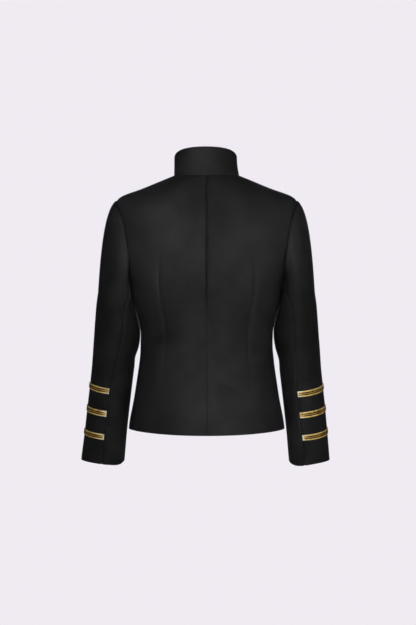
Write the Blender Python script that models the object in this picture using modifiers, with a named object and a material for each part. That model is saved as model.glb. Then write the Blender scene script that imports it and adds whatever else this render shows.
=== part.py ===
"""Military parade jacket in black wool with gold cuff braids, closed and filled out as it is worn.

Metres, +Z up. The wearer faces -Y, and +X is the wearer's left. The origin is the base of the neck:
the point midway between the two places where a shoulder seam meets the collar. "Drop" is the distance
below that level. Each cloth piece is a grid of points on its outer face, and its inner face is the
same points moved in along shared seam directions, so that neighbours meet edge to edge.
"""

import bmesh
import bpy
import numpy as np
from mathutils import Vector

# Cloth and making up
CLOTH = 0.0024
COLLAR_CLOTH = 0.0030
SEAM_GAP = 0.0003
HALF_SEAM = SEAM_GAP / 2

# Torso, measured on its outer face
SQUARENESS = 2.2
NECK_HALF_WIDTH = 0.074
BACK_NECK_DROP = 0.004
FRONT_NECK_DROP = 0.055
SHOULDER_POINT_DROP = 0.055
UNDERARM_DROP = 0.241
HEM_SIDE_DROP = 0.573
HEM_CENTRE_DROP = {"back": 0.581, "front": 0.577}
ARMHOLE_REACH = {"back": 0.0535, "front": 0.056}
ARMHOLE_SAG = {"back": 0.0, "front": 0.25}
NORMAL_STEP = {"degrees": 0.5, "metres": 0.0005}

TORSO_COLUMNS = ("drop", "half_width", "back", "front")
TORSO_ROWS = (
    (0.000, 0.0740, 0.060, 0.008),
    (0.010, 0.0990, 0.069, 0.017),
    (0.030, 0.1480, 0.079, 0.041),
    (0.049, 0.1960, 0.085, 0.062),
    (0.060, 0.2060, 0.088, 0.072),
    (0.075, 0.2095, 0.092, 0.080),
    (0.100, 0.2095, 0.097, 0.092),
    (0.150, 0.2030, 0.104, 0.110),
    (0.200, 0.1870, 0.104, 0.121),
    (0.241, 0.1745, 0.101, 0.125),
    (0.282, 0.1675, 0.095, 0.122),
    (0.333, 0.1530, 0.087, 0.111),
    (0.360, 0.1500, 0.083, 0.105),
    (0.385, 0.1500, 0.081, 0.101),
    (0.420, 0.1525, 0.082, 0.099),
    (0.450, 0.1565, 0.086, 0.100),
    (0.506, 0.1650, 0.097, 0.106),
    (0.556, 0.1745, 0.107, 0.112),
    (0.581, 0.1775, 0.110, 0.114),
)

# Columns of a half back or front, as shares of the way from its centre line to its side
NECK_SHARES = (0.0, 0.045, 0.09, 0.14, 0.195, 0.25, 0.31)
SIDE_SHARES = (0.365, 0.40, 0.435, 0.50, 0.58, 0.67, 0.76, 0.84, 0.92, 1.0)
NECK_SHARE = NECK_SHARES[-1]
DART_SHARE = 0.40
LOWER_ROWS = 9
UPPER_ROWS = 11

# Waist darts: where each one starts and ends, and how far it draws the cloth in
DART_COLUMNS = ("start", "end", "depth")
DARTS = {"back": (0.185, 0.505, 0.0020), "front": (0.255, 0.500, 0.0020)}
DART_FULLNESS = 0.7

# Front closing: the wearer's right front laps over the left one
LAP_WIDTH = 0.015
LAP_LIFT = CLOTH + 0.0006
LAP_RAMP = (0.018, 0.034)

# Stand collar, with its two ends meeting at the centre front
COLLAR_HALF_WIDTH = 0.0690
COLLAR_DEPTH = {"back": 0.058, "front": 0.062}
COLLAR_TOP = {"back": 0.061, "side": 0.040, "front": -0.005}
COLLAR_FLARE = 2.0
COLLAR_ROWS = (0.0, 0.16, 0.38, 0.68, 1.0)
COLLAR_END_GAP = 0.0012
COLLAR_SEAM_GAP = 0.00023
COLLAR_CORNER = {"share": 0.27, "drops": (0.0050, 0.0008)}

# Sleeve sections as if on the wearer's left, from the biceps to the cuff. The seam columns are angles
# round the sleeve: 0 is its outer side, 90 its back, 180 the side next to the torso and 270 its front.
# The photographed left sleeve hangs a little fuller, by twice the last column on its outer side.
SLEEVE_COLUMNS = (
    "drop", "x", "y", "half_width", "half_depth", "hind_left", "hind_right", "fore", "left_more",
)
SLEEVE_ROWS = (
    (0.268, 0.1962, -0.016, 0.0508, 0.0620, 118, 110, 238, 0.0005),
    (0.300, 0.2002, -0.017, 0.0512, 0.0595, 109, 100, 241, 0.0005),
    (0.340, 0.2030, -0.020, 0.0518, 0.0560, 107, 99, 244, 0.0005),
    (0.380, 0.2088, -0.026, 0.0495, 0.0530, 105, 102, 246, 0.0005),
    (0.438, 0.2150, -0.036, 0.0480, 0.0498, 95, 105, 248, 0.0005),
    (0.486, 0.2207, -0.044, 0.0477, 0.0465, 90, 108, 249, 0.0007),
    (0.535, 0.2265, -0.052, 0.0475, 0.0435, 90, 108, 250, 0.0010),
    (0.588, 0.2323, -0.061, 0.0472, 0.0410, 90, 107, 250, 0.0016),
    (0.654, 0.2385, -0.072, 0.0475, 0.0385, 90, 106, 250, 0.0030),
)
SLEEVE_ROW_DROPS = (0.300, 0.335, 0.370, 0.404, 0.445, 0.486, 0.535, 0.588, 0.620, 0.654)
CAP_ROWS = 7
CAP_LATERAL = {"least": 0.35, "more": 0.58, "fullness": 0.35}
CAP_PULL = {"start": 0.46, "end": 0.90}
HIND_STEP = 9
FORE_STEP = 8
TOP_COLUMNS = HIND_STEP + FORE_STEP + 1
UNDER_COLUMNS = 2 * (2 * UPPER_ROWS - HIND_STEP - FORE_STEP) + 1
SLEEVE_CLEARANCE = 0.0035
CLEARANCE_TURN = 0.005
CLEARANCE_SHARES = {"margin": 0.3, "turn": 0.5}
AXIS_STEP = 0.004
CUFF_INNER_LIFT = 0.006
CUFF_INNER_REACH = 4

# Soft troughs of the sleeve: drop and angle of the middle, reach along and round, depth, and slant
FOLD_COLUMNS = ("drop", "angle", "along", "round", "depth", "slant")
SLEEVE_FOLDS = {
    "left": (
        (0.345, 250, 0.020, 60, 0.0040, 0.014),
        (0.398, 225, 0.017, 70, 0.0045, -0.012),
        (0.330, 60, 0.045, 26, 0.0022, 0.010),
    ),
    "right": (
        (0.352, 245, 0.019, 64, 0.0042, 0.012),
        (0.402, 228, 0.018, 66, 0.0040, -0.014),
        (0.368, 62, 0.030, 34, 0.0024, 0.012),
    ),
}

# Gold braids, set on the top sleeve from one seam to the other
BRAID_DROPS = {"left": (0.481, 0.534, 0.588), "right": (0.484, 0.533, 0.586)}
BRAID_TILT = {"left": 0.000, "right": 0.003}
BRAID_WIDTH = 0.0130
BRAID_PROFILE = (
    (0.00, 0.0009),
    (0.17, 0.0015),
    (0.34, 0.0009),
    (0.50, 0.0016),
    (0.66, 0.0009),
    (0.83, 0.0015),
    (1.00, 0.0009),
)
BRAID_SEAM_MARGIN = 0.0012
BRAID_GAP = 0.0003

# Domed shank buttons down the centre front
BUTTON_DROPS = (0.078, 0.145, 0.212, 0.279, 0.346, 0.413, 0.480)
BUTTON_PROFILE = (
    (0.0000, 0.0066),
    (0.0035, 0.0062),
    (0.0066, 0.0047),
    (0.0084, 0.0026),
    (0.0094, 0.0015),
    (0.0092, 0.0006),
    (0.0080, 0.0000),
    (0.0000, 0.0000),
)
BUTTON_STEPS = 16
BUTTON_GAP = 0.0004
BUTTON_SEAT_REACH = 0.012

CLOTH_LOOK = {"colour": (0.012, 0.012, 0.013), "roughness": 0.85, "metallic": 0.0}
BRAID_LOOK = {"colour": (0.42, 0.30, 0.09), "roughness": 0.42, "metallic": 0.9}
BUTTON_LOOK = {"colour": (0.52, 0.37, 0.12), "roughness": 0.28, "metallic": 1.0}


def chart(columns, rows):
    """A table as one array for each named column."""
    return {name: np.array([row[i] for row in rows], float) for i, name in enumerate(columns)}


TORSO = chart(TORSO_COLUMNS, TORSO_ROWS)
SLEEVE = chart(SLEEVE_COLUMNS, SLEEVE_ROWS)


def read(table, name, drop):
    """A column of a table at any drop, on a smooth curve through its rows that doesn't overshoot them."""
    drops, values = table["drop"], table[name]
    steps = np.diff(drops)
    slopes = np.diff(values) / steps
    product = slopes[:-1] * slopes[1:]
    total = slopes[:-1] + slopes[1:]
    inner = np.where(product > 0, 2 * product / np.where(total == 0, 1, total), 0)
    tangents = np.concatenate([slopes[:1], inner, slopes[-1:]])
    drop = np.clip(drop, drops[0], drops[-1])
    k = np.clip(np.searchsorted(drops, drop, side="right") - 1, 0, len(steps) - 1)
    t = (drop - drops[k]) / steps[k]
    return (
        values[k] * (1 + 2 * t) * (1 - t) ** 2
        + tangents[k] * steps[k] * t * (1 - t) ** 2
        + values[k + 1] * t**2 * (3 - 2 * t)
        + tangents[k + 1] * steps[k] * t**2 * (t - 1)
    )


def smooth_step(value, low, high):
    share = np.clip((value - low) / (high - low), 0, 1)
    return share**2 * (3 - 2 * share)


def unit(vectors):
    return vectors / np.linalg.norm(vectors, axis=-1, keepdims=True)


def oval(share):
    """The other coordinate of the torso's oval section, as a share, at one coordinate's share."""
    return (1 - np.clip(np.abs(share), 0, 1) ** SQUARENESS) ** (1 / SQUARENESS)


def torso_depth(side, x, drop):
    """How far the torso's outer face stands behind or before the plane of the side seams."""
    return read(TORSO, side, drop) * oval(x / read(TORSO, "half_width", drop))


def torso_reach(y, drop):
    """The torso's half width at a depth y, 0 where the torso doesn't reach that depth."""
    depth = np.where(y > 0, read(TORSO, "back", drop), read(TORSO, "front", drop))
    return read(TORSO, "half_width", drop) * oval(y / depth)


def armhole_points(angle):
    """The left armhole's seam. Angle 0 is the shoulder point, 90 the back and 180 the underarm."""
    turn = np.radians(angle)
    height = (1 - np.cos(turn)) / 2
    drop = SHOULDER_POINT_DROP + (UNDERARM_DROP - SHOULDER_POINT_DROP) * height
    behind = np.sin(turn) > 0
    reach = np.where(behind, ARMHOLE_REACH["back"], ARMHOLE_REACH["front"])
    sag = np.where(behind, ARMHOLE_SAG["back"], ARMHOLE_SAG["front"])
    y = reach * np.sin(turn) * (1 - sag * np.cos(turn))
    return np.stack([torso_reach(y, drop), y, -drop], axis=-1)


def sleeve_leaving(angle):
    """The way in which the sleeve leaves the armhole seam: outwards at the shoulder, down at the underarm."""
    height = (1 + np.cos(np.radians(angle))) / 2
    lateral = CAP_LATERAL["least"] + CAP_LATERAL["more"] * height ** CAP_LATERAL["fullness"]
    return np.stack([lateral, np.zeros_like(lateral), -np.sqrt(1 - lateral**2)], axis=-1)


def armhole_normals(angle):
    """Directions out of the cloth that the torso and the sleeve share at the armhole seam."""
    point = armhole_points(angle)
    y, drop = point[:, 1], -point[:, 2]
    step = NORMAL_STEP["metres"]
    by_depth = (torso_reach(y + step, drop) - torso_reach(y - step, drop)) / (2 * step)
    by_drop = (torso_reach(y, drop + step) - torso_reach(y, drop - step)) / (2 * step)
    torso = unit(np.stack([np.ones_like(y), -by_depth, by_drop], axis=-1))
    turn = NORMAL_STEP["degrees"]
    round_seam = armhole_points(angle + turn) - armhole_points(angle - turn)
    sleeve = unit(np.cross(sleeve_leaving(angle), round_seam))
    return unit(torso + sleeve)


def shoulder_seam_drop(x):
    """The drop at which the torso's ridge, where the shoulder seam lies, is x from the centre."""
    drops = np.linspace(0, SHOULDER_POINT_DROP, 200)
    return np.interp(x, read(TORSO, "half_width", drops), drops)


def neckline_drop(side, x):
    share = np.clip(x / NECK_HALF_WIDTH, 0, 1)
    if side == "back":
        return BACK_NECK_DROP * (1 - share**2)
    return FRONT_NECK_DROP * np.sqrt(1 - share**2)


def top_edge(side, shares):
    """x and drop of a half panel's top edge: its neckline, then its shoulder seam."""
    neck_x = NECK_HALF_WIDTH * np.sin(np.pi / 2 * np.clip(shares / NECK_SHARE, 0, 1))
    tip_x = read(TORSO, "half_width", SHOULDER_POINT_DROP)
    along = np.clip((shares - NECK_SHARE) / (1 - NECK_SHARE), 0, 1)
    x = neck_x + (tip_x - NECK_HALF_WIDTH) * along
    on_neck = shares <= NECK_SHARE
    return x, np.where(on_neck, neckline_drop(side, neck_x), shoulder_seam_drop(x))


def armhole_angles(side):
    """The angles at which a panel's rows meet the armhole, from the underarm to the shoulder point."""
    back = 180 * (1 - np.arange(UPPER_ROWS + 1) / UPPER_ROWS)
    return back if side == "back" else 360 - back


def outward(grid, inside=(0.0, 0.0)):
    """Unit normals of a grid of points that point away from the upright line through a point inside."""
    normals = unit(np.cross(np.gradient(grid, axis=1), np.gradient(grid, axis=0)))
    away = grid[..., :2] - np.array(inside)
    return normals if np.sum(normals[..., :2] * away) > 0 else -normals


def half_panel(side):
    """Outer face of the wearer's left back or front: rows from hem to shoulder, columns outwards."""
    shares = np.array(NECK_SHARES + SIDE_SHARES)
    angle = np.pi / 2 * shares
    power = 2 / SQUARENESS
    facing = 1 if side == "back" else -1
    hem = HEM_SIDE_DROP + (HEM_CENTRE_DROP[side] - HEM_SIDE_DROP) * np.cos(angle) ** 2
    rows = []
    for i in range(LOWER_ROWS + 1):
        drop = hem + (UNDERARM_DROP - hem) * i / LOWER_ROWS
        x = read(TORSO, "half_width", drop) * np.sin(angle) ** power
        rows.append((x, drop))
    low_x = rows[-1][0]
    top_x, top_drop = top_edge(side, shares)
    edge_x = armhole_points(armhole_angles(side))[:, 0]
    for i in range(1, UPPER_ROWS + 1):
        rise = (1 - np.cos(np.pi * i / UPPER_ROWS)) / 2
        straight = low_x + (top_x - low_x) * rise
        x = straight + shares**2 * (edge_x[i] - straight[-1])
        rows.append((x, UNDERARM_DROP + (top_drop - UNDERARM_DROP) * rise))
    grid = np.array([np.stack([x, facing * torso_depth(side, x, d), -d], axis=-1) for x, d in rows])
    return draw_in_dart(side, grid)


def draw_in_dart(side, grid):
    """Sinks the dart's column of points, most at its middle."""
    dart = dict(zip(DART_COLUMNS, DARTS[side]))
    column = (NECK_SHARES + SIDE_SHARES).index(DART_SHARE)
    along = np.clip((-grid[:, column, 2] - dart["start"]) / (dart["end"] - dart["start"]), 0, 1)
    sink = dart["depth"] * np.sin(np.pi * along) ** DART_FULLNESS
    grid[:, column] -= outward(grid)[:, column] * sink[:, None]
    return grid


def torso_normals(side, grid):
    """Directions out of a half panel. Along a seam they lie in the plane shared with the neighbour."""
    normals = outward(grid)
    if side == "back":
        normals[:, 0, 0] = 0
    normals[:, -1, 1] = 0
    normals[-1, -len(SIDE_SHARES) - 1:, 1] = 0
    normals[LOWER_ROWS:, -1] = armhole_normals(armhole_angles(side))
    return unit(normals)


def with_lap(grid):
    """A front half with the strip past the centre front that laps over or under the other front."""
    edge = grid[:, :1].copy()
    edge[..., 0] = -LAP_WIDTH
    edge[..., 1] = -torso_depth("front", edge[..., 0], -edge[..., 2])
    return np.concatenate([edge, grid], axis=1)


def lift_lap(grid, normals):
    """Raises the upper front near the centre, so that it lies on the lower one and under the collar."""
    share = 1 - smooth_step(grid[..., :1], *LAP_RAMP)
    raised = grid + normals * share * LAP_LIFT
    top, beside = raised[-1], raised[-2]
    back_down = np.clip((top[:, 2] - grid[-1, :, 2]) / (top[:, 2] - beside[:, 2]), 0, 1)
    raised[-1] = top + (beside - top) * back_down[:, None]
    return raised


def trim(grid, first_column=0.0, last_column=0.0, first_row=0.0, last_row=0.0):
    """Draws the named edges of a grid back into it, by distances in metres."""
    out = grid.copy()
    for edge, beside, amount in ((0, 1, first_column), (-1, -2, last_column)):
        step = grid[:, beside] - grid[:, edge]
        out[:, edge] += step / np.linalg.norm(step, axis=1, keepdims=True) * amount
    for edge, beside, amount in ((0, 1, first_row), (-1, -2, last_row)):
        step = grid[beside] - grid[edge]
        out[edge] += step / np.linalg.norm(step, axis=1, keepdims=True) * amount
    return out


def mirrored(grid):
    return grid * np.array([-1.0, 1.0, 1.0])


def collar_grid():
    """Outer face of the stand collar: rows from the neckline up, columns round from the left front end."""
    shares = np.array(NECK_SHARES)
    necks = {}
    for side, facing in (("front", -1), ("back", 1)):
        x, drop = top_edge(side, shares)
        necks[side] = np.stack([x, facing * torso_depth(side, x, drop), -drop], axis=-1)
    turn = np.pi / 2 * shares / NECK_SHARE
    angle = np.concatenate([np.pi - turn, turn[-2::-1]])
    base = np.concatenate([necks["front"], necks["back"][-2::-1]])
    top = collar_top(angle)
    corner = COLLAR_CORNER["share"]
    base = np.insert(base, 1, base[0] + (base[1] - base[0]) * corner, axis=0)
    top = np.insert(top, 1, top[0] + (top[1] - top[0]) * corner, axis=0)
    top[:2, 2] -= COLLAR_CORNER["drops"]
    base[0, 0] = top[0, 0] = COLLAR_END_GAP / 2
    base = np.concatenate([base, mirrored(base[-2::-1])])
    top = np.concatenate([top, mirrored(top[-2::-1])])
    grid = []
    for up in COLLAR_ROWS:
        row = base + (top - base) * up
        row[:, :2] = top[:, :2] + (base - top)[:, :2] * (1 - up) ** COLLAR_FLARE
        grid.append(row)
    return trim(np.array(grid), first_row=COLLAR_SEAM_GAP)


def collar_top(angle):
    """The collar's top edge. Angle 0 is the centre back and a half turn the centre front."""
    mean = (COLLAR_TOP["back"] + 2 * COLLAR_TOP["side"] + COLLAR_TOP["front"]) / 4
    tilt = (COLLAR_TOP["back"] - COLLAR_TOP["front"]) / 2
    bow = mean - COLLAR_TOP["side"]
    z = mean + tilt * np.cos(angle) + bow * np.cos(2 * angle)
    depth = np.where(np.cos(angle) > 0, COLLAR_DEPTH["back"], COLLAR_DEPTH["front"])
    return np.stack([COLLAR_HALF_WIDTH * np.sin(angle), depth * np.cos(angle), z], axis=-1)


def sleeve_frame(side, drop):
    """Centre of a sleeve's section at a drop, with its outer, its back and its downward direction."""
    def centre(d):
        more = read(SLEEVE, "left_more", d) if side == "left" else 0
        return np.array([read(SLEEVE, "x", d) + more, read(SLEEVE, "y", d), -d])

    down = centre(drop + AXIS_STEP) - centre(drop - AXIS_STEP)
    down /= np.linalg.norm(down)
    out = unit(np.array([1.0, 0.0, 0.0]) - down[0] * down)
    return centre(drop), out, np.cross(out, down), down


def sleeve_ring(side, drop, angle):
    """Outer points of a sleeve's section at a drop, for angles in degrees."""
    turn = np.radians(angle)[:, None]
    centre, out, back, _ = sleeve_frame(side, drop)
    wide, deep = read(SLEEVE, "half_width", drop), read(SLEEVE, "half_depth", drop)
    if side == "left":
        wide += read(SLEEVE, "left_more", drop)
    return centre + wide * np.cos(turn) * out + deep * np.sin(turn) * back


def sleeve_cap(angle, ring, down, starts, t):
    """Points at a share t of the way from the armhole seam to the biceps section."""
    leaving = sleeve_leaving(angle)
    span = np.linalg.norm(ring - starts, axis=1, keepdims=True)
    return (
        starts * (1 + 2 * t) * (1 - t) ** 2
        + leaving * span * CAP_PULL["start"] * t * (1 - t) ** 2
        + ring * t**2 * (3 - 2 * t)
        + down * span * CAP_PULL["end"] * t**2 * (t - 1)
    )


def fold_sink(side, drop, angle):
    """How far the sleeve's soft troughs draw in the cloth."""
    sink = np.zeros_like(angle, float)
    for row in SLEEVE_FOLDS[side]:
        fold = dict(zip(FOLD_COLUMNS, row))
        across = (angle - fold["angle"] + 180) % 360 - 180
        along = drop - fold["drop"] - fold["slant"] * across / fold["round"]
        sink += fold["depth"] * np.exp(-((along / fold["along"]) ** 2) - (across / fold["round"]) ** 2)
    return sink


def clear_of_torso(points, share):
    """Moves sleeve points out along X until they clear the torso, with a soft turn."""
    margin = SLEEVE_CLEARANCE * smooth_step(share, 0, CLEARANCE_SHARES["margin"])
    softness = CLEARANCE_TURN * smooth_step(share, 0, CLEARANCE_SHARES["turn"])
    limit = torso_reach(points[:, 1], -points[:, 2]) + margin
    out = points.copy()
    gap = points[:, 0] - limit
    out[:, 0] = limit + (gap + np.sqrt(gap**2 + softness**2)) / 2
    return out


def sleeve_tube(side):
    """Outer points of a whole sleeve, as if worn on the left, and the directions out of it.

    Rows go from the armhole to the cuff. Columns go from the hindarm seam over the outer side to the
    forearm seam, then back to the hindarm seam next to the torso at half the spacing.
    """
    step = 180 / UPPER_ROWS
    top = HIND_STEP * step - step * np.arange(TOP_COLUMNS)
    under = top[-1] - step / 2 * np.arange(1, UNDER_COLUMNS)
    seam_line = np.concatenate([top, under])
    starts = armhole_points(seam_line)
    out_at_seam = armhole_normals(seam_line)
    halves = np.arange(TOP_COLUMNS, TOP_COLUMNS + UNDER_COLUMNS - 1, 2)
    for values in (starts, out_at_seam):
        values[halves] = (values[halves - 1] + values[halves + 1]) / 2
    starts[:, 0] += SEAM_GAP

    def angles(drop):
        hind, fore = read(SLEEVE, "hind_" + side, drop), read(SLEEVE, "fore", drop) - 360
        return np.interp(-seam_line, (-top[0], -top[-1], 360 - top[0]), (-hind, -fore, 360 - hind)) * -1

    cap_end = SLEEVE["drop"][0]
    ring = sleeve_ring(side, cap_end, angles(cap_end))
    down = sleeve_frame(side, cap_end)[3]
    rows = []
    for i in range(CAP_ROWS + 1):
        t = i / CAP_ROWS
        rows.append(clear_of_torso(sleeve_cap(seam_line, ring, down, starts, t), t))
    for drop in SLEEVE_ROW_DROPS:
        angle = angles(drop)
        points = sleeve_ring(side, drop, angle)
        inwards = unit(sleeve_frame(side, drop)[0] - points)
        points += inwards * fold_sink(side, drop, angle)[:, None]
        rows.append(clear_of_torso(points, 1.0))
    inner = ((1 - np.cos(np.radians(angle))) / 2) ** CUFF_INNER_REACH
    last_step = SLEEVE_ROW_DROPS[-1] - SLEEVE_ROW_DROPS[-2]
    rows[-1] = rows[-1] + (rows[-2] - rows[-1]) * inner[:, None] * CUFF_INNER_LIFT / last_step
    tube = np.array(rows)
    wrapped = np.concatenate([tube[:, -2:-1], tube, tube[:, 1:2]], axis=1)
    normals = outward(wrapped, tube[-1].mean(axis=0)[:2])[:, 1:-1]
    normals[0] = unit(out_at_seam)
    return tube, normals


def braid_walls(sleeve, normals, middle, tilt):
    """Inner and outer face of one braid: the top sleeve's own points between its seams, moved out.

    Its middle line is level with a drop on the outer side of the sleeve, and lower at the back by the tilt.
    """
    margin = trim(sleeve, first_column=BRAID_SEAM_MARGIN, last_column=BRAID_SEAM_MARGIN)
    drops = np.array(SLEEVE_ROW_DROPS)
    lower, out_of_lower = margin[CAP_ROWS + 1:], normals[CAP_ROWS + 1:]
    columns = np.arange(TOP_COLUMNS)
    lean = tilt * np.sin(np.pi / 2 * (1 - columns / HIND_STEP))
    inner, outer = [], []
    for share, height in BRAID_PROFILE:
        place = np.interp(middle + lean + (share - 0.5) * BRAID_WIDTH, drops, np.arange(len(drops)))
        row = np.minimum(place.astype(int), len(drops) - 2)
        part = (place - row)[:, None]
        points = lower[row, columns] * (1 - part) + lower[row + 1, columns] * part
        out = unit(out_of_lower[row, columns] * (1 - part) + out_of_lower[row + 1, columns] * part)
        inner.append(points + out * BRAID_GAP)
        outer.append(points + out * (BRAID_GAP + height))
    return np.array(inner), np.array(outer)


def clear_scene():
    for obj in list(bpy.data.objects):
        bpy.data.objects.remove(obj, do_unlink=True)


def new_collection(name):
    collection = bpy.data.collections.new(name)
    bpy.context.scene.collection.children.link(collection)
    return collection


def make_material(name, look):
    material = bpy.data.materials.new(name)
    material.use_nodes = True
    shader = material.node_tree.nodes["Principled BSDF"]
    shader.inputs["Base Color"].default_value = (*look["colour"], 1.0)
    shader.inputs["Roughness"].default_value = look["roughness"]
    shader.inputs["Metallic"].default_value = look["metallic"]
    material.diffuse_color = (*look["colour"], 1.0)
    return material


def add_object(name, mesh, look, collection):
    mesh.shade_smooth()
    mesh.materials.append(make_material(name + "_material", look))
    obj = bpy.data.objects.new(name, mesh)
    collection.objects.link(obj)
    return obj


def add_wall(name, inner, outer, look, collection):
    """A closed sheet between two grids of points."""
    rows, columns = inner.shape[:2]
    count = rows * columns
    faces = []
    for i in range(rows - 1):
        for j in range(columns - 1):
            a = i * columns + j
            face = (a, a + 1, a + columns + 1, a + columns)
            faces += [face, tuple(k + count for k in face[::-1])]
    rim = list(range(columns))
    rim += [i * columns + columns - 1 for i in range(1, rows)]
    rim += [(rows - 1) * columns + j for j in range(columns - 2, -1, -1)]
    rim += [i * columns for i in range(rows - 2, 0, -1)]
    for a, b in zip(rim, rim[1:] + rim[:1]):
        near, far = min(a, b), max(a, b)
        faces += [(near, far, far + count), (near, far + count, near + count)]
    mesh = bpy.data.meshes.new(name)
    points = np.concatenate([inner.reshape(-1, 3), outer.reshape(-1, 3)])
    mesh.from_pydata(points.tolist(), [], faces)
    work = bmesh.new()
    work.from_mesh(mesh)
    bmesh.ops.recalc_face_normals(work, faces=work.faces[:])
    work.to_mesh(mesh)
    work.free()
    return add_object(name, mesh, look, collection)


def add_cloth(name, grid, normals, thickness, collection):
    return add_wall(name, grid - normals * thickness, grid, CLOTH_LOOK, collection)


def add_button(name, seat, facing, collection):
    """A turned dome on the front's face, its back a little clear of the cloth."""
    mesh = bpy.data.meshes.new(name)
    work = bmesh.new()
    points = [work.verts.new((radius, 0, height)) for radius, height in BUTTON_PROFILE]
    for a, b in zip(points, points[1:]):
        work.edges.new((a, b))
    work.to_mesh(mesh)
    work.free()
    obj = add_object(name, mesh, BUTTON_LOOK, collection)
    obj.location = Vector(seat) + Vector(facing) * BUTTON_GAP
    obj.rotation_mode = "QUATERNION"
    obj.rotation_quaternion = Vector(facing).to_track_quat("Z", "Y")
    screw = obj.modifiers.new("turning", "SCREW")
    screw.steps = screw.render_steps = BUTTON_STEPS
    screw.use_merge_vertices = True
    screw.merge_threshold = 0.00001
    screw.use_smooth_shade = True
    return obj


def button_seats(front):
    """Where each button sits on the upper front's centre column, and the way it faces."""
    column = front[:, 1]
    order = np.argsort(-column[:, 2])
    drops, line = -column[order, 2], column[order]
    for drop in BUTTON_DROPS:
        here = np.array([np.interp(drop, drops, line[:, k]) for k in range(3)])
        above, below = (
            np.array([np.interp(drop + d, drops, line[:, k]) for k in range(3)])
            for d in (-BUTTON_SEAT_REACH, BUTTON_SEAT_REACH)
        )
        slope = above - below
        facing = np.array([0.0, -slope[2], slope[1]])
        yield here, facing / np.linalg.norm(facing)


def build_torso(collection):
    seams = {"last_column": HALF_SEAM, "last_row": HALF_SEAM}
    whole = half_panel("back")
    out = torso_normals("back", whole)
    back = trim(whole, first_column=HALF_SEAM, **seams)
    add_cloth("back_left", back, out, CLOTH, collection)
    add_cloth("back_right", mirrored(back), mirrored(out), CLOTH, collection)
    whole = with_lap(half_panel("front"))
    out = torso_normals("front", whole)
    under = trim(whole, **seams)
    upper = mirrored(lift_lap(under, out))
    add_cloth("front_left", under, out, CLOTH, collection)
    add_cloth("front_right", upper, mirrored(out), CLOTH, collection)
    collar = collar_grid()
    add_cloth("collar", collar, outward(collar), COLLAR_CLOTH, collection)
    for number, (seat, facing) in enumerate(button_seats(upper), 1):
        add_button(f"button_{number}", seat, facing, collection)


def build_sleeves(collection):
    seams = {"first_column": HALF_SEAM, "last_column": HALF_SEAM}
    for side in ("left", "right"):
        tube, out = sleeve_tube(side)
        if side == "right":
            tube, out = mirrored(tube), mirrored(out)
        top = slice(0, TOP_COLUMNS)
        under = slice(TOP_COLUMNS - 1, None)
        add_cloth(f"sleeve_top_{side}", trim(tube[:, top], **seams), out[:, top], CLOTH, collection)
        add_cloth(f"sleeve_under_{side}", trim(tube[:, under], **seams), out[:, under], CLOTH, collection)
        for number, drop in enumerate(BRAID_DROPS[side], 1):
            inner, outer = braid_walls(tube[:, top], out[:, top], drop, BRAID_TILT[side])
            add_wall(f"braid_{side}_{number}", inner, outer, BRAID_LOOK, collection)


def main():
    clear_scene()
    collection = new_collection("parade_jacket")
    build_torso(collection)
    build_sleeves(collection)


main()
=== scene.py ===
"""Studio picture of a black wool parade jacket with gold cuff braids, seen from behind.

Metres, +Z up. The wearer faces -Y, +X is the wearer's left, and the origin is the base of the neck.
"Drop" is the distance below that level. The tables of the torso, the sleeves, the creases and the turned
profiles are in millimetres and degrees. Each cloth piece is a fine grid of points on the form of the
solid that it stands for. Creases bend the whole cloth, and seams and darts are pressed into its outer
face alone.
"""

import bmesh
import bpy
import numpy as np
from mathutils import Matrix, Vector


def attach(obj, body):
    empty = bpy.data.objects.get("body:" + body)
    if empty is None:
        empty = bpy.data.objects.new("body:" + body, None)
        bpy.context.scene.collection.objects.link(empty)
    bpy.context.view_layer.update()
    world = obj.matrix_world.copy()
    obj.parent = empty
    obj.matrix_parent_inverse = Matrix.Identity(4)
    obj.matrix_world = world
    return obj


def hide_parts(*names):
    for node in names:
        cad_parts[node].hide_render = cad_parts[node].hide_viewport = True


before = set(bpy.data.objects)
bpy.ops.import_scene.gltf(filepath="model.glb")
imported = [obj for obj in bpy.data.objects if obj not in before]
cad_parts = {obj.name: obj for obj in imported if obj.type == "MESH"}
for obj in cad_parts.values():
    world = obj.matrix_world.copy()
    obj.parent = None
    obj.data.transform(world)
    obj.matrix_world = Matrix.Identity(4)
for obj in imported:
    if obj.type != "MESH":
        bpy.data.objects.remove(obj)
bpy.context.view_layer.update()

# Cloth and making up
CLOTH = 0.0024
COLLAR_CLOTH = 0.0030
SEAM_GAP = 0.000002
HALF_SEAM = SEAM_GAP / 2

# Torso, measured on its outer face
SQUARENESS = 2.2
NECK_HALF_WIDTH = 0.074
BACK_NECK_DROP = 0.004
FRONT_NECK_DROP = 0.055
SHOULDER_POINT_DROP = 0.055
UNDERARM_DROP = 0.241
HEM_SIDE_DROP = 0.573
HEM_CENTRE_DROP = {"back": 0.581, "front": 0.577}
ARMHOLE_REACH = {"back": 0.0535, "front": 0.056}
ARMHOLE_SAG = {"back": 0.0, "front": 0.25}
NORMAL_STEP = {"degrees": 0.5, "metres": 0.0005}

ANGLES = ("angle", "round", "turn", "hind_left", "hind_right", "fore")
TORSO_COLUMNS = ("drop", "half_width", "back", "front")
TORSO_ROWS = (
    (0, 74, 60, 8),
    (10, 99, 69, 17),
    (30, 148, 79, 41),
    (49, 196, 85, 62),
    (60, 206, 88, 72),
    (75, 209.5, 92, 80),
    (100, 209.5, 97, 92),
    (150, 203, 104, 110),
    (200, 187, 104, 121),
    (241, 174.5, 101, 125),
    (282, 167.5, 95, 122),
    (333, 153, 87, 111),
    (360, 150, 83, 105),
    (385, 150, 81, 101),
    (420, 152.5, 82, 99),
    (450, 156.5, 86, 100),
    (506, 165, 97, 106),
    (556, 174.5, 107, 112),
    (581, 177.5, 110, 114),
)
NECK_SHARE = 0.31
DART_SHARE = 0.40

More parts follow.
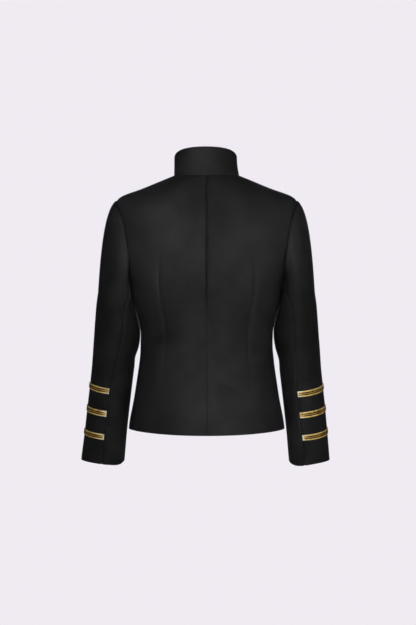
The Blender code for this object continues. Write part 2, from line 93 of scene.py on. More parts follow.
# How finely the pieces are made: the usual step, and the closer steps beside a seam or an edge, which have
# this many times their reach to themselves. Places are rounded, and may pass an end by the slack.
STEP = 0.0042
NEAR = np.array([0.0006, 0.0013, 0.0021, 0.0031, 0.0044])
NEAR_ROOM = 1.3
DIGITS = 7
SLACK = 1e-6
RIDGE_STEPS = 400
HALF_GIRTH = 0.25
SKIRT_LENGTH = 0.34
UPPER_STEPS = 56

# Seams pressed into the cloth, with the allowances raised a little beside them. The pulls say how sharply
# the armholes and the neckline are drawn in, and the neckline's grows to a full one at the shoulder seam.
SEAM_DEPTH = 0.0014
SEAM_WIDTH = 0.0016
ARMHOLE_PULL = 1.4
NECK_PULL = {"strength": 0.4, "fade": 0.04}
ALLOWANCE_RISE = 0.00022
ALLOWANCE_AT = 0.0066
ALLOWANCE_WIDTH = 0.0028
NORMAL_REACH = 0.009
NECK_LEAN = 0.35

# How sharply the centre back seam and the darts are drawn in at each drop
CENTRE_LINE = ((0.00, 1.5), (0.26, 1.4), (0.31, 0.5), (0.40, 0.45), (0.48, 0.8), (0.58, 0.8))
DART_SHARPNESS = ((0.18, 0.3), (0.23, 1.0), (0.33, 1.0), (0.38, 0.35), (0.51, 0.2))
DART_SOFTNESS = ((0.18, 1.0), (0.33, 1.0), (0.40, 0.5), (0.51, 0.4))

# Waist darts: start, end, how far each draws in the cloth, the half width of its trough and its line
DART_COLUMNS = ("start", "end", "depth")
DARTS = {"back": (0.185, 0.505, 0.0026), "front": (0.255, 0.500, 0.0020)}
DART_FULLNESS = 0.7
DART_REACH = 0.0088
DART_LINE = {"depth": 0.0011, "width": 0.0016}

# Front closing: the wearer's right front laps over the left one
LAP_WIDTH = 0.015
LAP_LIFT = CLOTH + 0.0006
LAP_RAMP = (0.018, 0.034)
LAP_TOP_ROWS = 14

# Stand collar, with its two ends meeting at the centre front and its top leaning to the wearer's left
COLLAR_QUARTER = 0.105
COLLAR_HEIGHT = 0.055
COLLAR_HALF_WIDTH = 0.0690
COLLAR_DEPTH = {"back": 0.058, "front": 0.062}
COLLAR_TOP = {"back": 0.061, "side": 0.040, "front": -0.005}
COLLAR_FLARE = 2.0
COLLAR_LEAN = 0.0045
COLLAR_END_GAP = 0.0005
COLLAR_END_FADE = 0.02
COLLAR_CORNER_RADIUS = 0.006

# Sleeve sections as if on the wearer's left, from the biceps to the cuff. The seam columns are angles
# round the sleeve: 0 is its outer side, 90 its back, 180 the side next to the torso and 270 its front.
# The left sleeve hangs a little fuller, by twice the last column on its outer side.
SLEEVE_COLUMNS = (
    "drop", "x", "y", "half_width", "half_depth", "hind_left", "hind_right", "fore", "left_more",
)
SLEEVE_ROWS = (
    (268, 196.2, -16, 50.8, 62, 118, 110, 238, 0.5),
    (300, 200.2, -17, 51.2, 59.5, 109, 100, 241, 0.5),
    (340, 203, -20, 51.8, 56, 107, 99, 244, 0.5),
    (380, 208.8, -26, 49.5, 53, 105, 102, 246, 0.5),
    (438, 215, -36, 48, 49.8, 95, 105, 248, 0.5),
    (486, 220.7, -44, 47.7, 46.5, 90, 108, 249, 0.7),
    (535, 226.5, -52, 47.5, 43.5, 90, 108, 250, 1),
    (588, 232.3, -61, 47.2, 41, 90, 107, 250, 1.6),
    (654, 238.5, -72, 47.5, 38.5, 90, 106, 250, 3),
)
ARMHOLE_STEP = 180 / 11
HIND_ANGLE = 9 * ARMHOLE_STEP
FORE_ANGLE = -8 * ARMHOLE_STEP
SEAM_MARKS = (-HIND_ANGLE, -FORE_ANGLE, 360 - HIND_ANGLE)
CAP_STEPS = 44
CAP_CROWDING = 1.3
CAP_LATERAL = {"least": 0.35, "more": 0.58, "fullness": 0.35}
CAP_PULL = {"start": 0.46, "end": 0.90}
SLEEVE_ANGLE_STEP = 3.2
NEAR_ANGLES = np.array([0.6, 1.3, 2.1, 3.1, 4.4])
SLEEVE_CLEARANCE = 0.0018
CLEARANCE_TURN = 0.004
CLEARANCE_SHARES = {"margin": 0.3, "turn": 0.5}
AXIS_STEP = 0.004

# Each cuff rises next to the torso from a drop on, and sags a little behind that
CUFF_LIFT = {"rise": 0.006, "from": 0.620, "reach": 4}
CUFF_SAG = {"from": 0.560, "angle": 140, "round": 50, "left": 0.0058, "right": 0.0090}

# Soft troughs of the sleeve: drop and angle of the middle, reach along and round, depth, and slant. They
# come in between two drops.
FOLD_COLUMNS = ("drop", "angle", "along", "round", "depth", "slant")
SLEEVE_FOLDS = {
    "left": (
        (345, 250, 20, 60, 4, 14),
        (398, 225, 17, 70, 4.5, -12),
        (330, 60, 45, 26, 2.2, 10),
    ),
    "right": (
        (352, 245, 19, 64, 4.2, 12),
        (402, 228, 18, 66, 4, -14),
        (368, 62, 30, 34, 2.4, 12),
    ),
}
FOLD_START = (0.268, 0.300)

# Gold braids, set on the top sleeve from one seam to the other. Each is a row of rounded bands of slanting
# ribs, and turns under at its ends.
BRAID_DROPS = {"left": (0.481, 0.534, 0.588), "right": (0.484, 0.533, 0.586)}
BRAID_TILT = {"left": 0.000, "right": 0.003}
BRAID_WIDTH = 0.0130
BRAID_GAP = 0.0003
BRAID_BASE = 0.0007
BRAID_BANDS = 3
BRAID_BAND_HEIGHT = 0.0009
BRAID_ROUNDNESS = 1.3
BRAID_TURN = {"rise": 0.0004, "between": (0.0028, 0.0040)}
BRAID_RIB = {"pitch": 0.0024, "height": 0.00004, "slant": 0.35}
BRAID_SEAM_MARGIN = 0.0012
BRAID_LENGTH = 0.235
BRAID_STEPS = {"across": 24, "along": 392}

# Tone of a braid, from 0 for bright thread to 1: a little on its bands, more on the middle one, and most
# spreading from the inner grooves, where the darkening is partly tarnish and partly painted shade. Its
# turned ends and the thread near them are made paler, as a painted glint.
BRAID_TONE = {
    "band": 0.20,
    "middle": 0.17,
    "spread": 0.70,
    "inside": (0.33, 0.42),
    # Painted glint: how much paler the turned ends are made, how much less dark the grooves are near them,
    # and how much paler the thread near the ends is made, over this reach
    "end": 0.30,
    "filled": 0.4,
    "worn": 0.26,
    "worn_reach": 0.015,
}

# Domed shank buttons down the centre front
BUTTON_DROPS = (0.078, 0.145, 0.212, 0.279, 0.346, 0.413, 0.480)
BUTTON_PROFILE = (
    (0, 6.6),
    (1.8, 6.48),
    (3.5, 6.1),
    (5.2, 5.4),
    (6.6, 4.4),
    (7.7, 3.1),
    (8.2, 2.3),
    (8.5, 2),
    (8.9, 2.1),
    (9.3, 1.8),
    (9.4, 1.3),
    (9.2, 0.8),
    (8.6, 0.4),
    (8, 0),
    (0, 0),
)
BUTTON_STEPS = 48
BUTTON_GAP = 0.0004
BUTTON_SEAT_REACH = 0.012

# Free edges: their rounding as places through the cloth's thickness, the turn from which an edge is crisp,
# and how far the rubbing reaches
RIM_SHARES = (0.12, 0.5, 0.88)
SHARP_FROM = 60
WEAR_REACH = 0.0025

# Soft creases of the back and front, seen flat from outside: place, reach along and across, turn of the
# long direction as it falls to the wearer's left, and depth, below 0 for a ridge
CREASE_COLUMNS = ("x", "drop", "along", "across", "turn", "depth")
CREASES = {
    "back": (
        (-45, 471, 36, 9, -29, 3.2),
        (31, 433, 34, 9, 25, 2.6),
        (4, 534, 50, 24, 90, 2.4),
        (43, 525, 38, 9, 60, 2),
        (113, 362, 34, 11, -8, 3.6),
        (120, 405, 25, 11, 15, 2),
        (-126, 385, 26, 12, 5, 3.2),
        (-83, 520, 22, 7.5, -12, 1.6),
        (-30, 72, 34, 9, 75, 1.6),
        (52, 86, 30, 8.5, 90, 1.6),
        (55, 292, 50, 11, 4, 1.6),
        (-60, 300, 45, 11, -6, 1.6),
        (-140, 136, 55, 18, 80, -3),
        (128, 130, 50, 18, 100, -1.6),
        (0, 30, 110, 16, 0, 1.6),
        (-8.5, 120, 130, 4.2, 90, -0.6),
        (-128, 300, 40, 12, 78, 1.8),
        (132, 480, 60, 14, 94, 2.4),
        (-132, 500, 50, 14, 86, 1.8),
    ),
    "front": (
        (34, 352, 26, 7.5, 12, 1.4),
        (-40, 361, 30, 8, -16, 1.6),
        (92, 296, 36, 11, 34, 1.6),
        (-88, 305, 30, 10, -28, 1.4),
        (134, 176, 36, 10, 68, 2),
        (-137, 168, 40, 10.5, -62, 2.2),
        (104, 528, 40, 15, 84, 1.4),
        (-96, 519, 45, 16, -80, 1.3),
        (60, 438, 28, 9, 20, 1),
        (-70, 452, 24, 8.5, -24, 1.1),
    ),
}

# Finer creases of the sleeves, laid out as the table of folds, and below 0 for a ridge
SLEEVE_CREASES = {
    "left": (
        (134, 90, 22, 34, 5.4, 0),
        (225, 88, 26, 26, -1.6, 4),
        (300, 84, 24, 34, 5.2, -4),
        (405, 60, 24, 34, 3.4, 6),
        (462, 300, 16, 45, 1.8, 8),
        (250, 215, 18, 40, 2, 10),
        (180, 300, 24, 30, 1.8, -8),
        (600, 80, 18, 34, 1, 5),
        (385, 180, 36, 50, -5, 0),
    ),
    "right": (
        (127, 88, 18, 24, 1.6, 3),
        (270, 84, 90, 20, -1.8, 0),
        (280, 46, 45, 22, 2.2, 6),
        (395, 78, 16, 30, 1.6, -5),
        (455, 305, 18, 40, 1.8, -8),
        (248, 212, 20, 44, 2, -10),
        (172, 296, 26, 28, 1.6, 8),
        (615, 85, 16, 30, 0.9, -4),
        (382, 180, 36, 50, -3.8, 0),
    ),
}

# Materials. A bump is a strength and a height, a noise a scale and a detail, and a wave a scale and how
# much it wavers.
WOOL = {
    "dark": (0.0052, 0.0052, 0.0057),
    "light": (0.0102, 0.0101, 0.0107),
    "rubbed": (0.019, 0.019, 0.020),
    "rub_share": 0.35,
    "roughness": (0.59, 0.71),
    "ior": 1.27,
    "twill_turn": 63,
    "twill_wave": (260, 0.6),
    "waver_scale": 1.5,
    "twill_bump": (0.35, 0.0001),
    "nap_noise": (900, 5),
    "nap_bump": (0.25, 0.0001),
    "cloud_noise": (20, 3),
    "cloud_span": (0.36, 0.64),
}

LACE = {
    # Colours along the tone: a pale first stop for the painted glint at the turned ends, and a dark last
    # stop for the grooves, partly tarnish and partly painted shade
    "tones": (
        (0.00, (1.00, 0.93, 0.72)),
        (0.20, (0.95, 0.74, 0.25)),
        (0.42, (0.70, 0.41, 0.06)),
        (0.66, (0.05, 0.022, 0.003)),
    ),
    "patch_noise": (95, 1),
    "patch_dark": (0.62, 0.52, 0.36),
    "patch_span": (0.48, 0.66),
    "speckle_noise": (1500, 2),
    "speckle_share": 0.20,
    "roughness": (0.28, 0.44),
    "ior": 1.3,
    "metallic": 0.30,
    "thread_wave": (420, 1.2),
    "thread_bump": (0.6, 0.00012),
}
GILT = {
    "bright": (0.72, 0.50, 0.17),
    "dull": (0.52, 0.34, 0.10),
    "roughness": (0.17, 0.34),
    "patch_noise": (90, 6),
    "grain_noise": (2500, 2),
    "grain_bump": (0.2, 0.00005),
}
PAPER = {
    "colour": (0.80, 0.785, 0.81),
    "roughness": 0.9,
    "shine": 0.2,
    "fibre_scale": 400,
    "fibre_bump": (0.05, 0.0005),
}

# How the pieces differ: the torso's wool made lighter, as painted light for the stronger light on it than
# on the sleeves; more finely clouded sleeves; and a collar cut crossways
TORSO_PAINTED_LIGHT = 1.22
SLEEVE_CLOUD = (24, 3)
COLLAR_TURN = 90

# Studio: the floor, the lights, the light from all round and the camera
FLOOR_LEVEL = -1.42
FLOOR_PROFILE = ((0, 0), (500, 0), (1000, 0), (1120, 1), (1150, 4))
FLOOR_STEPS = 96
LIGHT_COLUMNS = ("name", "place", "aim", "size", "watts", "spread")
LIGHTS = (
    ("right", (-1.4, 2.6, -0.2), (0.0, 0.05, -0.3), (0.9, 1.1), 9.2, 180),
    ("low", (-0.3, 2.8, -1.0), (0.0, 0.05, -0.3), (0.8, 0.6), 6.0, 180),
    ("side_right", (-3.0, 0.6, -0.2), (0.0, 0.05, -0.3), (1.0, 1.4), 2.0, 180),
    ("side_left", (3.0, 0.4, -0.2), (0.0, 0.0, -0.3), (1.0, 1.4), 1.0, 180),
    ("neck", (0.6, 2.3, -0.2), (0.02, 0.05, 0.035), (0.15, 0.12), 0.075, 8),
    ("left_back", (0.3, 2.35, -0.1), (0.085, 0.05, -0.17), (0.3, 0.3), 0.110, 10),
    ("left_blade", (-0.4, 2.35, -0.1), (0.14, 0.05, -0.145), (0.1, 0.2), 0.050, 5),
    ("right_back", (-0.9, 2.2, -0.3), (-0.13, 0.05, -0.15), (0.25, 0.25), 0.100, 9),
    ("left_skirt", (-0.2, 2.4, -0.3), (0.04, 0.05, -0.50), (0.25, 0.25), 0.105, 9),
    ("right_skirt", (-0.9, 2.2, -0.3), (-0.01, 0.05, -0.47), (0.35, 0.3), 0.040, 13),
    ("right_cap", (-2.0, 1.6, 0.3), (-0.2, 0.0, -0.07), (0.3, 0.2), 0.035, 7),
    ("left_cap", (2.0, 1.6, 0.3), (0.22, 0.0, -0.045), (0.2, 0.1), 0.016, 3.2),
    ("right_inside", (0.9, 2.6, -0.4), (-0.2, 0.0, -0.52), (0.2, 0.3), 0.065, 6),
    ("front", (0.0, -3.0, 0.2), (0.0, 0.0, -0.3), (1.6, 1.6), 24, 140),
)
FLOOR_LIGHT = ("floor_light", (0.0, 0.0, 1.2), (0.0, 0.0, -1.4), (2.0, 2.0), 40, 180)

# Light from all round: its strength away from the camera and towards it, and where along Y it changes
AMBIENT_COLOUR = (0.95, 0.95, 1.0)
AMBIENT = {"strength": (0.12, 0.26), "between": (0.0, 0.6)}
BACKDROP_COLOUR = (0.871, 0.831, 0.888)

# Camera: its film, the height that it sees at the jacket, its place and its clipping distances
SENSOR = 36
VIEW_HEIGHT = 1.420
CAMERA_PLACE = (-0.003, 3.0, -0.310)
CLIP = (0.05, 50)


def listed(columns, rows):
    """Each row of a table by its columns' names, with its lengths turned into metres."""
    for row in rows:
        yield {name: value if name in ANGLES else value / 1000 for name, value in zip(columns, row)}


def chart(columns, rows):
    """A table as one array for each of its columns."""
    records = list(listed(columns, rows))
    return {name: np.array([record[name] for record in records], float) for name in columns}


TORSO = chart(TORSO_COLUMNS, TORSO_ROWS)
SLEEVE = chart(SLEEVE_COLUMNS, SLEEVE_ROWS)


def read(table, name, drop):
    """A column of a table at any drop, on a smooth curve through its rows that doesn't overshoot them."""
    drops, values = table["drop"], table[name]
    steps = np.diff(drops)
    slopes = np.diff(values) / steps
    product = slopes[:-1] * slopes[1:]
    total = slopes[:-1] + slopes[1:]
    inner = np.where(product > 0, 2 * product / np.where(total == 0, 1, total), 0)
    tangents = np.concatenate([slopes[:1], inner, slopes[-1:]])
    drop = np.clip(drop, drops[0], drops[-1])
    k = np.clip(np.searchsorted(drops, drop, side="right") - 1, 0, len(steps) - 1)
    t = (drop - drops[k]) / steps[k]
    return hermite(t, values[k], tangents[k] * steps[k], values[k + 1], tangents[k + 1] * steps[k])


def smooth_step(value, low, high):
    share = np.clip((value - low) / (high - low), 0, 1)
    return share**2 * (3 - 2 * share)


def hermite(t, start, leaving, end, arriving):
    """A curve from one value to another, with its slopes at both."""
    return (
        start * (1 + 2 * t) * (1 - t) ** 2
        + leaving * t * (1 - t) ** 2
        + end * t**2 * (3 - 2 * t)
        + arriving * t**2 * (t - 1)
    )


def bell(value, reach):
    return np.exp(-((value / reach) ** 2))


def packed(*parts):
    """Arrays or numbers side by side, as the last axis of one array."""
    return np.stack(np.broadcast_arrays(*parts), axis=-1)


def unit(vectors):
    return vectors / np.linalg.norm(vectors, axis=-1, keepdims=True)


def spaced(low, high, marks, step=STEP, near=NEAR):
    """Places from low to high about a step apart, and closer together beside each mark."""
    places = np.linspace(low, high, round((high - low) / step) + 1)
    for mark in marks:
        places = places[np.abs(places - mark) > near[-1] * NEAR_ROOM]
        places = np.concatenate([places, [mark], mark - near, mark + near])
    places = np.unique(np.round(places, DIGITS))
    return places[(places >= low - SLACK) & (places <= high + SLACK)]


def oval(share):
    """The other coordinate of the torso's oval section, as a share, at one coordinate's share."""
    return (1 - np.clip(np.abs(share), 0, 1) ** SQUARENESS) ** (1 / SQUARENESS)


def torso_depth(side, x, drop):
    """How far the torso's outer face stands behind or before the plane of the side seams."""
    return read(TORSO, side, drop) * oval(x / read(TORSO, "half_width", drop))


def torso_reach(y, drop):
    """The torso's half width at a depth y, 0 where the torso doesn't reach that depth."""
    depth = np.where(y > 0, read(TORSO, "back", drop), read(TORSO, "front", drop))
    return read(TORSO, "half_width", drop) * oval(y / depth)


def armhole_points(angle):
    """The left armhole's seam. Angle 0 is the shoulder point, 90 the back and 180 the underarm."""
    turn = np.radians(angle)
    height = (1 - np.cos(turn)) / 2
    drop = SHOULDER_POINT_DROP + (UNDERARM_DROP - SHOULDER_POINT_DROP) * height
    behind = np.sin(turn) > 0
    reach = np.where(behind, ARMHOLE_REACH["back"], ARMHOLE_REACH["front"])
    sag = np.where(behind, ARMHOLE_SAG["back"], ARMHOLE_SAG["front"])
    y = reach * np.sin(turn) * (1 - sag * np.cos(turn))
    return packed(torso_reach(y, drop), y, -drop)


def sleeve_leaving(angle):
    """How the sleeve leaves the armhole seam: outwards at the shoulder, and down at the underarm."""
    height = (1 + np.cos(np.radians(angle))) / 2
    lateral = CAP_LATERAL["least"] + CAP_LATERAL["more"] * height ** CAP_LATERAL["fullness"]
    return packed(lateral, 0, -np.sqrt(1 - lateral**2))


def armhole_normals(angle):
    """Directions out of the cloth that the torso and the sleeve share at the armhole seam."""
    point = armhole_points(angle)
    y, drop = point[:, 1], -point[:, 2]
    step = NORMAL_STEP["metres"]
    by_depth = (torso_reach(y + step, drop) - torso_reach(y - step, drop)) / (2 * step)
    by_drop = (torso_reach(y, drop + step) - torso_reach(y, drop - step)) / (2 * step)
    torso = unit(packed(1, -by_depth, by_drop))
    turn = NORMAL_STEP["degrees"]
    round_seam = armhole_points(angle + turn) - armhole_points(angle - turn)
    sleeve = unit(np.cross(sleeve_leaving(angle), round_seam))
    return unit(torso + sleeve)


def top_edge(side, shares):
    """x and drop of a half panel's top edge: its neckline, then its shoulder seam on the torso's ridge."""
    across = np.sin(np.pi / 2 * np.clip(shares / NECK_SHARE, 0, 1))
    inside = 1 - across**2
    neck_drop = BACK_NECK_DROP * inside if side == "back" else FRONT_NECK_DROP * np.sqrt(inside)
    drops = np.linspace(0, SHOULDER_POINT_DROP, RIDGE_STEPS)
    ridge = read(TORSO, "half_width", drops)
    along = np.clip((shares - NECK_SHARE) / (1 - NECK_SHARE), 0, 1)
    x = NECK_HALF_WIDTH * across + (ridge[-1] - NECK_HALF_WIDTH) * along
    return x, np.where(shares <= NECK_SHARE, neck_drop, np.interp(x, ridge, drops))


def outward(grid, inside=(0.0, 0.0)):
    """Unit normals of a grid of points that point away from the upright line through a point inside."""
    normals = unit(np.cross(np.gradient(grid, axis=1), np.gradient(grid, axis=0)))
    away = grid[..., :2] - np.array(inside)
    return normals if np.sum(normals[..., :2] * away) > 0 else -normals


def lengths(grid, axis):
    """Distance of each point of a grid from its first row or column, along the cloth."""
    steps = np.linalg.norm(np.diff(grid, axis=axis), axis=-1)
    first = np.zeros_like(np.take(steps, [0], axis=axis))
    return np.cumsum(np.concatenate([first, steps], axis=axis), axis=axis)


def edge_distances(grid):
    """Distance of each point from each of the grid's four edges."""
    rows, columns = lengths(grid, 0), lengths(grid, 1)
    return {
        "first_row": rows,
        "last_row": rows[-1:] - rows,
        "first_column": columns,
        "last_column": columns[:, -1:] - columns,
    }


def mirrored(grid):
    return grid * np.array([-1.0, 1.0, 1.0])


TURNS = {"left": np.copy, "right": mirrored}


def trim(grid, **amounts):
    """Draws the named edges of a grid back into it, by distances in metres."""
    out = grid.copy()
    for name, amount in amounts.items():
        axis = 0 if name.endswith("row") else 1
        edge, beside = (0, 1) if name.startswith("first") else (-1, -2)
        lines = np.moveaxis(grid, axis, 0)
        np.moveaxis(out, axis, 0)[edge] += unit(lines[beside] - lines[edge]) * amount
    return out


def along_table(table, drop):
    """A value that changes evenly between the rows (drop, value) of a table."""
    return np.interp(drop, *zip(*table))


def seam_sink(distance):
    """How far a seam draws in the cloth at a distance from it."""
    raised = ALLOWANCE_RISE * bell(distance - ALLOWANCE_AT, ALLOWANCE_WIDTH)
    return SEAM_DEPTH * bell(distance, SEAM_WIDTH) - raised


def half_panel(side, shares):
    """Outer face of the wearer's left back or front: rows from hem to shoulder, columns outwards."""
    angle = np.pi / 2 * shares
    facing = 1 if side == "back" else -1
    hem = HEM_SIDE_DROP + (HEM_CENTRE_DROP[side] - HEM_SIDE_DROP) * np.cos(angle) ** 2
    up = spaced(0, SKIRT_LENGTH, (0,))[:, None] / SKIRT_LENGTH
    low_drop = hem + (UNDERARM_DROP - hem) * up
    low_x = read(TORSO, "half_width", low_drop) * np.sin(angle) ** (2 / SQUARENESS)
    rise = (1 - np.cos(np.pi * np.arange(1, UPPER_STEPS + 1) / UPPER_STEPS))[:, None] / 2
    top_x, top_drop = top_edge(side, shares)
    straight = low_x[-1] + (top_x - low_x[-1]) * rise
    edge_x = armhole_points(upper_angles(side))[1:, :1]
    high_x = straight + shares**2 * (edge_x - straight[:, -1:])
    high_drop = UNDERARM_DROP + (top_drop - UNDERARM_DROP) * rise
    x, drop = np.concatenate([low_x, high_x]), np.concatenate([low_drop, high_drop])
    return packed(x, facing * torso_depth(side, x, drop), -drop), len(up)


def upper_angles(side):
    """The armhole angles of a panel's upper rows, from the underarm to the shoulder point."""
    back = 180 * (1 - np.arange(UPPER_STEPS + 1) / UPPER_STEPS)
    return back if side == "back" else 360 - back


def neck_normals(points):
    """Directions out of the cloth that the torso and the collar share at the neckline."""
    across = points[..., 0] / NECK_HALF_WIDTH**2
    behind = points[..., 1] / COLLAR_DEPTH["back"] ** 2
    level = unit(packed(across, behind, 0))
    return unit(level + np.array([0.0, 0.0, NECK_LEAN]))


def torso_normals(side, grid, lower_rows, shares):
    """Directions out of a half panel. Beside a seam they turn into the plane shared with the neighbour."""
    normals = outward(grid)
    far = edge_distances(grid)
    if side == "back":
        normals[..., 0] *= 1 - bell(far["first_column"], NORMAL_REACH)
    on_shoulder = bell(far["last_row"], NORMAL_REACH) * (shares >= NECK_SHARE)
    normals[..., 1] *= 1 - on_shoulder
    corner = int(np.argmin(np.abs(shares - NECK_SHARE)))
    past = np.clip(lengths(grid, 1) - lengths(grid, 1)[:, corner:corner + 1], 0, None)
    at_neck = neck_normals(grid[-1, np.minimum(np.arange(grid.shape[1]), corner)])
    share = bell(np.hypot(far["last_row"], past), NORMAL_REACH)[..., None]
    normals = unit(unit(normals) * (1 - share) + at_neck * share)
    edge = normals[:, -1].copy()
    edge[:, 1] = 0
    at_armhole = armhole_normals(upper_angles(side))
    edge[lower_rows - 1:] = at_armhole
    below = bell(-grid[:lower_rows, -1, 2] - UNDERARM_DROP, NORMAL_REACH)[:, None]
    edge[:lower_rows] = edge[:lower_rows] * (1 - below) + at_armhole[0] * below
    share = bell(far["last_column"], NORMAL_REACH)[..., None]
    return unit(normals * (1 - share) + unit(edge)[:, None] * share)


def dart_sink(side, grid, shares):
    """How far a waist dart draws in the cloth: a trough with a sharp line along its middle."""
    dart = dict(zip(DART_COLUMNS, DARTS[side]))
    column = int(np.argmin(np.abs(shares - DART_SHARE)))
    along = np.clip((-grid[:, column, 2] - dart["start"]) / (dart["end"] - dart["start"]), 0, 1)
    strength = np.sin(np.pi * along)[:, None] ** DART_FULLNESS
    columns = lengths(grid, 1)
    across = np.abs(columns - columns[:, column:column + 1])
    trough = dart["depth"] * np.clip(1 - across / DART_REACH, 0, 1)
    line = DART_LINE["depth"] * bell(across, DART_LINE["width"])
    drops = -grid[:, column:column + 1, 2]
    shape = trough * along_table(DART_SOFTNESS, drops) + line * along_table(DART_SHARPNESS, drops)
    return strength * shape


def with_lap(grid):
    """A front half with the strip past the centre front that laps over or under the other front."""
    x = -spaced(0, LAP_WIDTH, (LAP_WIDTH,))[:0:-1]
    z = grid[:, :1, 2]
    return np.concatenate([packed(x, -torso_depth("front", x, -z), z), grid], axis=1)


def lift_lap(grid, normals):
    """Raises the upper front near the centre, to lie on the lower one and end under the collar."""
    share = 1 - smooth_step(grid[..., :1], *LAP_RAMP)
    raised = grid + normals * share * LAP_LIFT
    last = len(grid) - 1
    places = np.arange(last - LAP_TOP_ROWS, last + 1)
    out = raised.copy()
    for j in range(grid.shape[1]):
        heights = raised[places, j, 2]
        stop = np.interp(grid[-1, j, 2], heights, places)
        moved = places[0] + (places - places[0]) * (stop - places[0]) / LAP_TOP_ROWS
        for axis in range(3):
            out[places, j, axis] = np.interp(moved, places, raised[places, j, axis])
    return out


def torso_creases(side, grid):
    """How far the soft creases of a back or front draw in the cloth at each point."""
    sink = np.zeros(grid.shape[:2])
    for crease in listed(CREASE_COLUMNS, CREASES[side]):
        turn = np.radians(crease["turn"])
        x, drop = grid[..., 0] - crease["x"], -grid[..., 2] - crease["drop"]
        along = x * np.cos(turn) + drop * np.sin(turn)
        across = drop * np.cos(turn) - x * np.sin(turn)
        sink += crease["depth"] * bell(along, crease["along"]) * bell(across, crease["across"])
    return sink


def collar_top(angle):
    """The collar's top edge. Angle 0 is the centre back and a half turn the centre front."""
    mean = (COLLAR_TOP["back"] + 2 * COLLAR_TOP["side"] + COLLAR_TOP["front"]) / 4
    tilt = (COLLAR_TOP["back"] - COLLAR_TOP["front"]) / 2
    bow = mean - COLLAR_TOP["side"]
    z = mean + tilt * np.cos(angle) + bow * np.cos(2 * angle)
    depth = np.where(np.cos(angle) > 0, COLLAR_DEPTH["back"], COLLAR_DEPTH["front"])
    return packed(COLLAR_HALF_WIDTH * np.sin(angle), depth * np.cos(angle), z)


def collar_grid():
    """Outer face of the stand collar: rows from the neckline up, columns round from the left front end."""
    quarter = spaced(0, COLLAR_QUARTER, (0,)) / COLLAR_QUARTER
    shares = quarter * NECK_SHARE
    necks = {}
    for side, facing in (("front", -1), ("back", 1)):
        x, drop = top_edge(side, shares)
        necks[side] = packed(x, facing * torso_depth(side, x, drop), -drop)
    turn = np.pi / 2 * quarter
    base = np.concatenate([necks["front"], necks["back"][-2::-1]])
    top = collar_top(np.concatenate([np.pi - turn, turn[-2::-1]]))
    in_front = np.arange(len(base)) < len(quarter)
    for edge in (base, top):
        share = in_front * (1 - smooth_step(edge[:, 0], 0, COLLAR_END_FADE))
        edge[:, 0] += share * COLLAR_END_GAP / 2
    to_corner = np.clip(1 - top[:, 0] / COLLAR_CORNER_RADIUS, 0, 1) * in_front
    top[:, 2] -= COLLAR_CORNER_RADIUS * (1 - np.sqrt(1 - to_corner**2))
    base = np.concatenate([base, mirrored(base[-2::-1])])
    top = np.concatenate([top, mirrored(top[-2::-1])])
    top[:, 0] += COLLAR_LEAN * (1 + top[:, 0] / COLLAR_HALF_WIDTH) / 2
    up = spaced(0, COLLAR_HEIGHT, (0, COLLAR_HEIGHT))[:, None, None] / COLLAR_HEIGHT
    grid = base + (top - base) * up
    grid[..., :2] = top[:, :2] + (base - top)[:, :2] * (1 - up) ** COLLAR_FLARE
    return trim(grid, first_row=HALF_SEAM)


def sleeve_centre(side, drop):
    more = read(SLEEVE, "left_more", drop) if side == "left" else 0
    return packed(read(SLEEVE, "x", drop) + more, read(SLEEVE, "y", drop), -drop)


def sleeve_down(side, drop):
    return unit(sleeve_centre(side, drop + AXIS_STEP) - sleeve_centre(side, drop - AXIS_STEP))


def seam_angles(side, drop):
    """The angles of a sleeve's hindarm and forearm seams."""
    return read(SLEEVE, "hind_" + side, drop), read(SLEEVE, "fore", drop) - 360


def ring_angles(side, drop, seam_line):
    """The angles round a sleeve's section of its columns, which are spread evenly between its seams."""
    hind, fore = seam_angles(side, drop)
    return -np.interp(-seam_line, SEAM_MARKS, (-hind, -fore, 360 - hind))


def fold_sink(side, drop, angle, table):
    """How far the soft troughs of a table draw in a sleeve's cloth."""
    sink = 0
    for fold in listed(FOLD_COLUMNS, table[side]):
        across = (angle - fold["angle"] + 180) % 360 - 180
        along = drop - fold["drop"] - fold["slant"] * across / fold["round"]
        sink = sink + fold["depth"] * bell(along, fold["along"]) * bell(across, fold["round"])
    return sink


def clear_of_torso(points, share):
    """Moves sleeve points out along X until they clear the torso, with a soft turn."""
    margin = SLEEVE_CLEARANCE * smooth_step(share, 0, CLEARANCE_SHARES["margin"])
    softness = CLEARANCE_TURN * smooth_step(share, 0, CLEARANCE_SHARES["turn"])
    limit = torso_reach(points[..., 1], -points[..., 2]) + margin
    out = points.copy()
    gap = points[..., 0] - limit
    out[..., 0] = limit + (gap + np.sqrt(gap**2 + softness**2)) / 2
    return out


def sleeve_section(side, drop, angle):
    """Points of a sleeve's outer face below its cap, at drops and angles of one shape."""
    turn = np.radians(angle)[..., None]
    centre, down = sleeve_centre(side, drop), sleeve_down(side, drop)
    out = unit(np.array([1.0, 0.0, 0.0]) - down[..., :1] * down)
    back = np.cross(out, down)
    wide, deep = read(SLEEVE, "half_width", drop), read(SLEEVE, "half_depth", drop)
    if side == "left":
        wide = wide + read(SLEEVE, "left_more", drop)
    points = centre + wide[..., None] * np.cos(turn) * out + deep[..., None] * np.sin(turn) * back
    sink = fold_sink(side, drop, angle, SLEEVE_FOLDS) * smooth_step(drop, *FOLD_START)
    points = points + unit(centre - points) * sink[..., None]
    return clear_of_torso(points, 1.0)


def sleeve_columns():
    """The columns of a sleeve as angles on the armhole, for the top sleeve and then the under sleeve."""
    pairs = zip(SEAM_MARKS, SEAM_MARKS[1:])
    top, under = (-spaced(*pair, pair, SLEEVE_ANGLE_STEP, NEAR_ANGLES) for pair in pairs)
    return top, under[1:]


